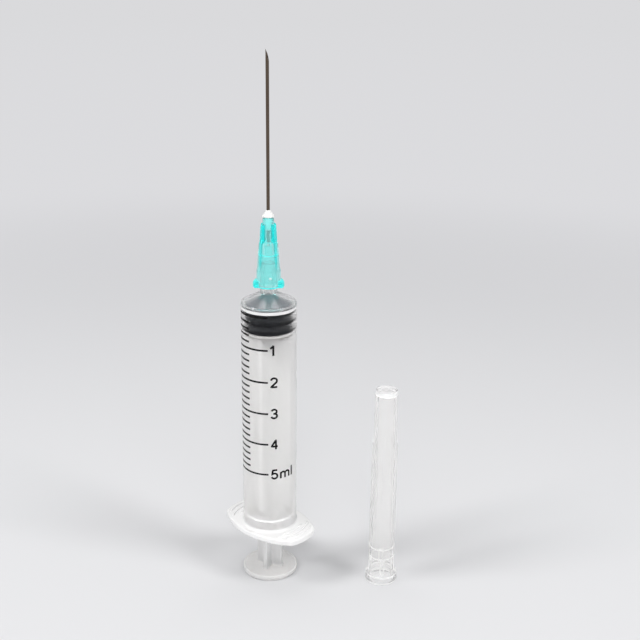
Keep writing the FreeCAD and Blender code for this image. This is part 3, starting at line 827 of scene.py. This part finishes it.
def cap_moulding(wall_finish, edge_highlight_finish):
    """Long tapered cap with outer ribs, a double band at the mouth and pointed splines inside."""
    angles = spaced_about(CAP_RIB_COUNT, radians(12), radians(0.75), radians(2.2))
    rib_off = off_nearest(angles, CAP_RIB_COUNT)
    spline_off = off_nearest(angles, SPLINE_COUNT)
    height = CAP_HEIGHT
    step_z = height - CAP_STEP_H
    full_z = SPLINE_LOW + SPLINE_POINT
    low = filleted([
        (CAP_OPENING_R, 0, 0),
        (CAP_FOOT_R, 0, 0.25),
        (CAP_FOOT_R, CAP_FOOT_EDGE, 0),
        (CAP_FOOT_R, CAP_FOOT_H, 0.2),
        (CAP_GROOVE_R, CAP_GROOVE_Z, 0.15),
        (CAP_BAND_R, CAP_BAND_LOW, 0.15),
        (CAP_BAND_R, CAP_BAND_EDGE, 0),
        (CAP_BAND_R, CAP_BAND_TOP, 0.25),
        (CAP_WALL_R, CAP_WALL_Z, 0.5),
        (CAP_WALL_R - 0.03, CAP_WALL_Z + 2.5, 0),
    ])
    high = filleted([
        (CAP_END_R + 0.02, height - 2.6, 0),
        (CAP_END_R, step_z, 0.12),
        (CAP_CUP_R, step_z, 0.06),
        (CAP_CUP_R, height, 0.2),
        (2.0, height, 0.15),
        (1.75, height - CAP_RECESS, 0.15),
        (0.35, height - CAP_RECESS, 0.1),
        (0.33, height - CAP_PIP_DROP, 0.08),
        (0, height - CAP_PIP_DROP, 0),
    ])
    inside = filleted([
        (0, CAP_DEPTH, 0),
        (2.0, CAP_DEPTH, 1.2),
        (CAP_BORE_END_R, CAP_BORE_STEP_Z, 0.06),
        (CAP_BORE_R, CAP_BORE_STEP_Z, 0.06),
        (CAP_BORE_R, SPLINE_TOP + 0.2, 0),
        (CAP_BORE_R, SPLINE_TOP, 0),
    ])
    mouth = filleted([
        (CAP_SOCKET_R, SPLINE_TOP - 0.02, 0),
        (CAP_SOCKET_R, 0.5, 0.08),
        (CAP_OPENING_R, 0.5, 0.05),
        (CAP_OPENING_R, 0.1, 0),
    ])
    taper = (CAP_WALL_R - CAP_END_R) / (step_z - CAP_WALL_Z)

    def rib_reach(z):
        end = min(z - CAP_RIB_LOW, CAP_RIB_TOP - z)
        if end < 0:
            return 0.0
        lean = (CAP_RIB_TOP_R - CAP_RIB_LOW_R) * (z - CAP_RIB_LOW) / (CAP_RIB_TOP - CAP_RIB_LOW)
        return CAP_RIB_LOW_R + lean - 0.35 * max(0.0, 1 - end / 0.45) ** 2

    rings = [ring(radius, z, angles) for radius, z in low]
    ends = np.linspace(0, 0.5, 7)
    heights = np.concatenate([
        CAP_RIB_LOW - 0.01 + ends, np.linspace(9, 39, 16), CAP_RIB_TOP + 0.01 - ends[::-1]])
    for z in heights:
        body = CAP_WALL_R - taper * (z - CAP_WALL_Z)
        rings.append(ring(np.maximum(body, flat_rib(rib_off, CAP_RIB_HALF, rib_reach(z))), z, angles))
    rings += [ring(radius, z, angles) for radius, z in high]
    rings += [ring(radius, z, angles) for radius, z in inside]

    def splined(socket, z):
        half = SPLINE_HALF * min(1.0, max(0.0, (z - SPLINE_LOW) / SPLINE_POINT))
        inner = CAP_SOCKET_R - 0.03 - 0.53 * (z - 0.5) / CONE_H
        return np.where(socket * np.sin(spline_off) < half, inner, socket)

    spline_heights = np.concatenate([
        np.linspace(SPLINE_TOP - 0.02, full_z + 0.1, 5), np.linspace(full_z + 0.05, SPLINE_LOW, 20)])
    rings += [ring(splined(CAP_SOCKET_R, z), z, angles) for z in spline_heights]
    rings += [ring(radius, z, angles) for radius, z in mouth[1:]]
    cap = piece("cap_moulding", skin("cap_moulding", rings, closed=True), wall_finish, sharp=40.0)

    # Near-white faces at the cup's step, the foot's lower edge, the band's top, the splines' edges and tops
    # and the bore's step are painted highlights.
    def region(reach, z, aside):
        if z > step_z - 0.05:
            edge = reach > CAP_CUP_R - 0.12 and z < height - 0.4
        elif reach > CAP_WALL_R + 0.06:
            edge = z < CAP_FOOT_EDGE + 0.01 or CAP_BAND_EDGE + 0.05 < z < CAP_BAND_TOP + 0.15
        elif reach > CAP_SOCKET_R + 0.02:
            edge = False
        elif SPLINE_LOW < z < SPLINE_TOP - 0.02:
            beside = reach * min(abs(aside.x), abs(aside.y))
            half = SPLINE_HALF * min(1.0, (z - SPLINE_LOW) / SPLINE_POINT)
            edge = half - SPLINE_HIGHLIGHT_W < beside < half + 0.05
        else:
            edge = SPLINE_TOP - 0.1 < z < SPLINE_TOP + 0.2 or abs(z - CAP_BORE_STEP_Z) < 0.1
        return edge_highlight_finish if edge else wall_finish

    part_finishes(cap, (wall_finish, edge_highlight_finish), region)
    cap.data.transform(Matrix.Translation(Vector((CAP_CENTRE[0], CAP_CENTRE[1], 0)) * MM))
    return cap


# Finishes

CLOUD_SIZE = 90.0
FLOW_SIZE = 500.0
BUMP_DEPTH = 0.00005
SPREAD_NEAR = 0.014
SPREAD_FAR = 0.019


def new_material(name):
    """A node material with its nodes and its main shader."""
    made = bpy.data.materials.new(name)
    made.use_nodes = True
    tree = made.node_tree
    return made, tree, tree.nodes["Principled BSDF"]


def set_inputs(made, values):
    """Sets a node's inputs, by name or by position."""
    for socket, given in values.items():
        made.inputs[socket].default_value = given


def node(tree, kind, inputs=None, **properties):
    """A new node with its properties and its inputs set."""
    made = tree.nodes.new(kind)
    for key, value in properties.items():
        setattr(made, key, value)
    set_inputs(made, inputs or {})
    return made


def join(tree, *pairs):
    """Links each output to its input."""
    for output, target in pairs:
        tree.links.new(output, target)


def new_group(name, inputs, outputs):
    """An empty node group with its named sockets. Inputs and outputs are (name, kind, default)."""
    group = bpy.data.node_groups.new(name, "ShaderNodeTree")
    for direction, sockets in (("INPUT", inputs), ("OUTPUT", outputs)):
        for label, kind, default in sockets:
            socket = group.interface.new_socket(label, in_out=direction, socket_type=kind)
            if default is not None:
                socket.default_value = default
    start = group.nodes.new("NodeGroupInput")
    end = group.nodes.new("NodeGroupOutput")
    return group, start, end


def moulding_haze():
    """Soft cloudiness and long flow lines that run along a moulded piece."""
    group, start, end = new_group(
        "moulding haze",
        [("Cloud Size", "NodeSocketFloat", CLOUD_SIZE), ("Flow Size", "NodeSocketFloat", FLOW_SIZE)],
        [("Haze", "NodeSocketFloat", None), ("Height", "NodeSocketFloat", None)])
    place = node(group, "ShaderNodeTexCoord")
    stretch = node(group, "ShaderNodeVectorMath", {1: (1.0, 1.0, 0.06)}, operation="MULTIPLY")
    cloud = node(group, "ShaderNodeTexNoise", {"Detail": 4.0, "Roughness": 0.55})
    flow = node(group, "ShaderNodeTexNoise", {"Detail": 3.0, "Roughness": 0.6})
    both = node(group, "ShaderNodeMath", {1: 0.6}, operation="MULTIPLY_ADD")
    spread = node(group, "ShaderNodeMapRange", {"From Min": 0.55, "From Max": 1.05})
    join(
        group,
        (place.outputs["Object"], cloud.inputs["Vector"]),
        (place.outputs["Object"], stretch.inputs[0]),
        (stretch.outputs[0], flow.inputs["Vector"]),
        (start.outputs["Cloud Size"], cloud.inputs["Scale"]),
        (start.outputs["Flow Size"], flow.inputs["Scale"]),
        (cloud.outputs["Fac"], both.inputs[0]),
        (flow.outputs["Fac"], both.inputs[2]),
        (both.outputs[0], spread.inputs["Value"]),
        (spread.outputs["Result"], end.inputs["Haze"]),
        (both.outputs[0], end.inputs["Height"]))
    return group


def fine_speckle():
    """Fine even grain, as on rubber, ink and set resin."""
    group, start, end = new_group(
        "fine speckle",
        [("Grain Size", "NodeSocketFloat", 3000.0), ("Contrast", "NodeSocketFloat", 0.5)],
        [("Grain", "NodeSocketFloat", None), ("Height", "NodeSocketFloat", None)])
    place = node(group, "ShaderNodeTexCoord")
    grain = node(group, "ShaderNodeTexNoise", {"Detail": 5.0, "Roughness": 0.7})
    middle = node(group, "ShaderNodeMath", {1: 0.5}, operation="SUBTRACT")
    scaled = node(group, "ShaderNodeMath", operation="MULTIPLY")
    back = node(group, "ShaderNodeMath", {1: 0.5}, operation="ADD", use_clamp=True)
    join(
        group,
        (place.outputs["Object"], grain.inputs["Vector"]),
        (start.outputs["Grain Size"], grain.inputs["Scale"]),
        (grain.outputs["Fac"], middle.inputs[0]),
        (middle.outputs[0], scaled.inputs[0]),
        (start.outputs["Contrast"], scaled.inputs[1]),
        (scaled.outputs[0], back.inputs[0]),
        (back.outputs[0], end.inputs["Grain"]),
        (grain.outputs["Fac"], end.inputs["Height"]))
    return group


def use_group(tree, group, **values):
    """A node group placed in a material, with its inputs set by name."""
    made = node(tree, "ShaderNodeGroup", node_tree=group)
    set_inputs(made, {key.replace("_", " "): value for key, value in values.items()})
    return made


def two_tone(tree, shader, mask, first, second):
    """Base colour that goes from first to second with a mask."""
    mix = node(tree, "ShaderNodeMix", {"A": (*first, 1), "B": (*second, 1)}, data_type="RGBA")
    join(tree, (mask, mix.inputs["Factor"]), (mix.outputs["Result"], shader.inputs["Base Color"]))
    return mix


def ranged(tree, mask, low, high, target):
    """Drives a value between low and high with a mask."""
    span = node(tree, "ShaderNodeMapRange", {"To Min": low, "To Max": high})
    join(tree, (mask, span.inputs["Value"]), (span.outputs["Result"], target))


def bumped(tree, shader, height, strength, distance=BUMP_DEPTH):
    """A bump made from a height."""
    bump = node(tree, "ShaderNodeBump", {"Strength": strength, "Distance": distance})
    join(tree, (height, bump.inputs["Height"]), (bump.outputs["Normal"], shader.inputs["Normal"]))


def full_tint(tint):
    """A tint given as one number or as a colour, as a shader's colour."""
    return (*np.broadcast_to(tint, 3).tolist(), 1)


def let_light_through(tree, shader, near_tint, far_tint):
    """Light passes a see-through piece straight and only once. What stands close behind it gets near_tint,
    and what is further away gets far_tint, because there the light has spread."""
    clear = node(tree, "ShaderNodeBsdfTransparent")
    path = node(tree, "ShaderNodeLightPath")
    spread = node(tree, "ShaderNodeMapRange", {"From Min": SPREAD_NEAR, "From Max": SPREAD_FAR})
    tints = {"A": full_tint(near_tint), "B": full_tint(far_tint)}
    passed = node(tree, "ShaderNodeMix", tints, data_type="RGBA")
    straight = node(tree, "ShaderNodeMath", operation="ADD", use_clamp=True)
    either = node(tree, "ShaderNodeMixShader")
    join(
        tree,
        (path.outputs["Ray Length"], spread.inputs["Value"]),
        (spread.outputs["Result"], passed.inputs["Factor"]),
        (passed.outputs["Result"], clear.inputs["Color"]),
        (path.outputs["Is Shadow Ray"], straight.inputs[0]),
        (path.outputs["Is Diffuse Ray"], straight.inputs[1]),
        (straight.outputs[0], either.inputs["Fac"]),
        (shader.outputs[0], either.inputs[1]),
        (clear.outputs[0], either.inputs[2]),
        (either.outputs[0], tree.nodes["Material Output"].inputs["Surface"]))


def see_through(name, haze, colours, roughness, transmission, ior, shade, far_shade,
                deep=None, inner_glow=0.0, ripple=0.05):
    """A moulded see-through plastic. Colours are its clear and its cloudy tone, and deep is its tone
    in thick places."""
    made, tree, shader = new_material(name)
    set_inputs(shader, {
        "Subsurface Weight": inner_glow,
        "Subsurface Radius": (1.0, 1.0, 1.0),
        "Subsurface Scale": 0.004,
        "Transmission Weight": transmission,
        "IOR": ior,
    })
    mask = use_group(tree, haze, Cloud_Size=CLOUD_SIZE, Flow_Size=FLOW_SIZE)
    mixed = two_tone(tree, shader, mask.outputs["Haze"], *colours)
    if deep:
        thick = node(tree, "ShaderNodeAttribute", attribute_name="tint depth")
        deeper = node(tree, "ShaderNodeMix", {"B": (*deep, 1)}, data_type="RGBA")
        join(
            tree,
            (thick.outputs["Fac"], deeper.inputs["Factor"]),
            (mixed.outputs["Result"], deeper.inputs["A"]),
            (deeper.outputs["Result"], shader.inputs["Base Color"]))
    ranged(tree, mask.outputs["Haze"], *roughness, shader.inputs["Roughness"])
    bumped(tree, shader, mask.outputs["Height"], ripple)
    let_light_through(tree, shader, shade, far_shade)
    return made


def rubber_finish(name, speckle, tones, sheen):
    """Black butyl rubber with a satin surface, in the tones given. The nose's lighter bluish tones
    are a painted sheen, and the lips' near-black tones are painted shade."""
    made, tree, shader = new_material(name)
    set_inputs(shader, {"Specular IOR Level": sheen})
    mask = use_group(tree, speckle, Grain_Size=2600.0, Contrast=1.0)
    two_tone(tree, shader, mask.outputs["Grain"], *tones)
    ranged(tree, mask.outputs["Grain"], 0.28, 0.42, shader.inputs["Roughness"])
    bumped(tree, shader, mask.outputs["Height"], 0.12)
    return made


def ink_finish(speckle):
    """Black printing ink, slightly uneven."""
    made, tree, shader = new_material("scale ink")
    set_inputs(shader, {"Specular IOR Level": 0.15})
    mask = use_group(tree, speckle, Grain_Size=4500.0, Contrast=1.4)
    two_tone(tree, shader, mask.outputs["Grain"], (0.002, 0.002, 0.002), (0.008, 0.0075, 0.007))
    ranged(tree, mask.outputs["Grain"], 0.35, 0.6, shader.inputs["Roughness"])
    return made


def steel_finish(speckle):
    """Drawn stainless tube with fine lines along its length."""
    made, tree, shader = new_material("drawn steel")
    set_inputs(shader, {"Metallic": 1.0})
    place = node(tree, "ShaderNodeTexCoord")
    stretch = node(tree, "ShaderNodeVectorMath", {1: (9000.0, 9000.0, 120.0)}, operation="MULTIPLY")
    lines = node(tree, "ShaderNodeTexNoise", {"Scale": 1.0, "Detail": 4.0, "Roughness": 0.6})
    join(tree, (place.outputs["Object"], stretch.inputs[0]), (stretch.outputs[0], lines.inputs["Vector"]))
    two_tone(tree, shader, lines.outputs["Fac"], (0.07, 0.05, 0.035), (0.20, 0.155, 0.12))
    mask = use_group(tree, speckle, Grain_Size=5000.0, Contrast=0.8)
    ranged(tree, mask.outputs["Grain"], 0.14, 0.24, shader.inputs["Roughness"])
    bumped(tree, shader, lines.outputs["Fac"], 0.1, 0.00002)
    return made


def resin_finish(speckle):
    """Opaque white set resin with a soft shine."""
    made, tree, shader = new_material("white resin")
    mask = use_group(tree, speckle, Grain_Size=900.0, Contrast=1.2)
    two_tone(tree, shader, mask.outputs["Grain"], (0.90, 0.895, 0.87), (0.96, 0.96, 0.945))
    ranged(tree, mask.outputs["Grain"], 0.25, 0.4, shader.inputs["Roughness"])
    bumped(tree, shader, mask.outputs["Height"], 0.15, 0.00008)
    return made


# Studio, in metres

FLOOR_R = 6.0
# Floor tones that grow darker with distance from the object: a painted pool of light.
NEAR_TONE = (0.765, 0.765, 0.778)
MIDDLE_TONE = (0.715, 0.715, 0.735)
FAR_TONE = (0.70, 0.70, 0.715)
NEAR_DISTANCE = 0.088
MIDDLE_DISTANCE = 0.4
FAR_DISTANCE = 2.2
LIT_REACH = 0.16
UNLIT_REACH = 0.5


def seen_directly(tree):
    """One for rays from the camera, also those that a shiny or see-through piece passes on."""
    path = node(tree, "ShaderNodeLightPath")
    seen = node(tree, "ShaderNodeMath", operation="ADD", use_clamp=True)
    seen_too = node(tree, "ShaderNodeMath", operation="ADD", use_clamp=True)
    join(
        tree,
        (path.outputs["Is Camera Ray"], seen.inputs[0]),
        (path.outputs["Is Glossy Ray"], seen.inputs[1]),
        (seen.outputs[0], seen_too.inputs[0]),
        (path.outputs["Is Transmission Ray"], seen_too.inputs[1]))
    return seen_too.outputs[0]


def floor_finish():
    """The floor's colour, painted lighter near the object as a painted pool of light, and a plain tone
    further away.
    """
    made, tree, shader = new_material("studio floor")
    set_inputs(shader, {"Roughness": 0.6, "Specular IOR Level": 0.15})
    place = node(tree, "ShaderNodeTexCoord")
    away = node(tree, "ShaderNodeVectorMath", operation="LENGTH")
    far = node(tree, "ShaderNodeMapRange", {"From Max": FAR_DISTANCE})
    tone = node(tree, "ShaderNodeValToRGB")
    stops = tone.color_ramp.elements
    stops[0].position = NEAR_DISTANCE / FAR_DISTANCE
    stops[0].color = (*NEAR_TONE, 1)
    stops[1].position = 1.0
    stops[1].color = (*FAR_TONE, 1)
    stops.new(MIDDLE_DISTANCE / FAR_DISTANCE).color = (*MIDDLE_TONE, 1)
    even = node(tree, "ShaderNodeEmission")
    reach = node(tree, "ShaderNodeMapRange", {"From Min": LIT_REACH, "From Max": UNLIT_REACH},
                 interpolation_type="SMOOTHSTEP")
    share = node(tree, "ShaderNodeMath", operation="MULTIPLY")
    blend = node(tree, "ShaderNodeMixShader")
    join(
        tree,
        (place.outputs["Object"], away.inputs[0]),
        (away.outputs["Value"], far.inputs["Value"]),
        (far.outputs["Result"], tone.inputs["Fac"]),
        (tone.outputs["Color"], shader.inputs["Base Color"]),
        (tone.outputs["Color"], even.inputs["Color"]),
        (away.outputs["Value"], reach.inputs["Value"]),
        (reach.outputs["Result"], share.inputs[0]),
        (seen_directly(tree), share.inputs[1]),
        (share.outputs[0], blend.inputs["Fac"]),
        (shader.outputs[0], blend.inputs[1]),
        (even.outputs[0], blend.inputs[2]),
        (blend.outputs[0], tree.nodes["Material Output"].inputs["Surface"]))
    return made


def studio_floor():
    """A wide round pale table."""
    shape = bmesh.new()
    bmesh.ops.create_circle(shape, cap_ends=True, segments=96, radius=FLOOR_R)
    mesh = bpy.data.meshes.new("studio_floor")
    shape.to_mesh(mesh)
    shape.free()
    floor = bpy.data.objects.new("studio_floor", mesh)
    bpy.context.scene.collection.objects.link(floor)
    mesh.materials.append(floor_finish())
    return floor


def studio_world(strength):
    """An even pale surround that shows the floor's far tone to the camera."""
    world = bpy.data.worlds.new("studio")
    bpy.context.scene.world = world
    world.use_nodes = True
    tree = world.node_tree
    light = tree.nodes["Background"]
    set_inputs(light, {"Color": (0.97, 0.985, 1.0, 1), "Strength": strength})
    shown = node(tree, "ShaderNodeBackground", {"Color": (*FAR_TONE, 1)})
    either = node(tree, "ShaderNodeMixShader")
    join(
        tree,
        (seen_directly(tree), either.inputs["Fac"]),
        (light.outputs[0], either.inputs[1]),
        (shown.outputs[0], either.inputs[2]),
        (either.outputs[0], tree.nodes["World Output"].inputs["Surface"]))


def softbox(name, place, target, size, watts):
    """A rectangular soft light that faces a point."""
    lamp = bpy.data.lights.new(name, "AREA")
    lamp.shape = "RECTANGLE"
    lamp.size, lamp.size_y = size
    lamp.energy = watts
    made = bpy.data.objects.new(name, lamp)
    made.location = place
    made.rotation_euler = (Vector(target) - Vector(place)).to_track_quat("-Z", "Y").to_euler()
    made.visible_camera = False
    bpy.context.scene.collection.objects.link(made)


def studio_camera():
    """The camera at the photograph's place, worked out for a square picture of 640 points."""
    picture = 640
    focal = 1061.0
    place = (0.00829, -0.25058, 0.15943)
    pitch = radians(19.40)
    yaw = radians(1.03)
    roll = radians(0.60)
    lens = bpy.data.cameras.new("camera")
    lens.sensor_width = 36.0
    lens.lens = focal / picture * lens.sensor_width
    lens.clip_start = 0.01
    lens.clip_end = 50.0
    camera = bpy.data.objects.new("camera", lens)
    forward = Vector((sin(yaw) * cos(pitch), cos(yaw) * cos(pitch), -sin(pitch)))
    level = Vector((cos(yaw), -sin(yaw), 0))
    upright = level.cross(forward)
    right = cos(roll) * level + sin(roll) * upright
    up = -sin(roll) * level + cos(roll) * upright
    camera.matrix_world = Matrix((
        (right.x, up.x, -forward.x, place[0]),
        (right.y, up.y, -forward.y, place[1]),
        (right.z, up.z, -forward.z, place[2]),
        (0, 0, 0, 1),
    ))
    bpy.context.scene.collection.objects.link(camera)
    bpy.context.scene.camera = camera


def main():
    haze = moulding_haze()
    speckle = fine_speckle()
    tube = see_through(
        "clear tube", haze, ((0.99, 0.985, 0.975), (0.97, 0.965, 0.955)), (0.36, 0.46),
        1.0, 1.13, 0.99, 0.90, ripple=0.03)
    # Milky flange finish, also put on the keeper ridge inside the bore as a painted highlight.
    flange = see_through(
        "milky flange and painted keeper highlight", haze, ((0.995, 0.99, 0.985), (0.965, 0.96, 0.955)), (0.10, 0.18),
        0.1, 1.49, 0.70, 0.40)
    tip = see_through(
        "clear tip", haze, ((0.985, 0.985, 0.98), (0.95, 0.95, 0.945)), (0.12, 0.20),
        0.96, 1.49, 0.95, 0.90)
    # Nearly opaque white for the band under the shoulder's edge: a painted highlight.
    shoulder = see_through(
        "painted shoulder highlight", haze, ((0.99, 0.99, 0.985), (0.97, 0.97, 0.965)), (0.12, 0.20),
        0.12, 1.4, 0.95, 0.90)
    ribs = see_through(
        "frosted ribs", haze, ((0.985, 0.965, 0.945), (0.95, 0.93, 0.905)), (0.38, 0.5),
        0.1, 1.49, 0.97, 0.60, inner_glow=0.85)
    # The ribs' frosted plastic painted darker: painted shade on the thumb disc under the flange, and on the
    # collar's top and the head.
    thumb = see_through(
        "frosted thumb rest with painted shade", haze, ((0.92, 0.895, 0.875), (0.87, 0.84, 0.815)), (0.38, 0.5),
        0.1, 1.49, 0.55, 0.35, inner_glow=0.85)
    # Dark grey for the collar's lower edge: painted shade.
    collar = see_through(
        "painted collar shade", haze, ((0.36, 0.35, 0.34), (0.28, 0.27, 0.26)), (0.4, 0.5),
        0.1, 1.49, 0.5, 0.35)
    tinted = see_through(
        "tinted moulding", haze, ((0.50, 0.97, 0.955), (0.43, 0.95, 0.935)), (0.06, 0.14),
        0.75, 1.47, (0.62, 0.95, 0.94), (0.45, 0.8, 0.8), deep=(0.06, 0.97, 0.95))
    # Bright saturated tint for the mouth rim and the socket's ledge: deeper tint of the thick plastic,
    # painted brighter as a highlight.
    rim = see_through(
        "tinted rim with painted highlight", haze, ((0.12, 1.0, 0.98), (0.08, 0.99, 0.97)), (0.10, 0.2),
        0.1, 1.47, 0.7, 0.5)
    # Near-white for the gate mark: a painted highlight.
    gate = see_through(
        "painted gate highlight", haze, ((0.80, 1.0, 0.99), (0.70, 0.99, 0.98)), (0.10, 0.2),
        0.1, 1.47, 0.7, 0.5)
    cap_wall = see_through(
        "cap moulding", haze, ((0.985, 0.98, 0.975), (0.955, 0.95, 0.945)), (0.05, 0.08),
        0.82, 1.15, 0.95, 0.78, ripple=0.0)
    # Near-white for edges and steps of the cap: painted highlights.
    cap_edge_highlight = see_through(
        "painted cap edge highlights", haze, ((1.0, 1.0, 0.995), (0.98, 0.98, 0.975)), (0.12, 0.2),
        0.05, 1.49, 0.9, 0.7)
    groove = rubber_finish("satin rubber", speckle, ((0.012, 0.0135, 0.016), (0.024, 0.027, 0.032)), 0.2)
    # Near-black tones for the lips: painted shade where they press on the bore.
    lip = rubber_finish("rubber with painted shade", speckle, ((0.002, 0.0025, 0.0035), (0.006, 0.007, 0.009)), 0.12)
    # Lighter bluish tones for the nose: a painted sheen.
    nose = rubber_finish("rubber with painted sheen", speckle, ((0.035, 0.05, 0.065), (0.075, 0.095, 0.115)), 0.4)
    ink = ink_finish(speckle)
    steel = steel_finish(speckle)
    resin = resin_finish(speckle)

    pieces = (
        (barrel_moulding(tube, flange, tip, shoulder), "barrel", "barrel", "clear_plastic"),
        (scale_print(ink), "barrel", "scale_marks", "black_ink"),
        (plunger_moulding(ribs, thumb, collar), "plunger", "plunger_rod", "frosted_plastic"),
        (stopper_rubber(groove, lip, nose), "plunger", "stopper", "dark_rubber"),
        (hub_moulding(tinted, rim, gate), "needle", "needle_hub", "tinted_plastic"),
        (cannula_tube(steel), "needle", "needle_cannula", "steel"),
        (adhesive_bead(resin), "needle", "needle_adhesive", "white_resin"),
        (cap_moulding(cap_wall, cap_edge_highlight), "plunger", "needle_cap", "cap_plastic"),
    )
    for made, body, cad_node, slot in pieces:
        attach(made, body)
        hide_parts(cad_node)

    studio_floor()
    studio_world(strength=0.13)
    middle = (0.01, 0.0, 0.05)
    softbox("overhead softbox", (0.0, 0.25, 1.1), middle, (0.6, 0.3), 1.6)
    softbox("left softbox", (-0.68, -0.2, 0.82), middle, (0.3, 0.4), 5.2)
    softbox("right softbox", (0.62, -0.32, 0.78), middle, (0.3, 0.4), 4.4)
    softbox("front softbox", (0.0, -1.3, 0.75), middle, (1.4, 1.0), 6.0)
    softbox("front spark", (0.0, -0.9, 0.85), middle, (0.3, 0.2), 2.0)
    studio_camera()
    bpy.context.scene.view_settings.view_transform = "Standard"


main()
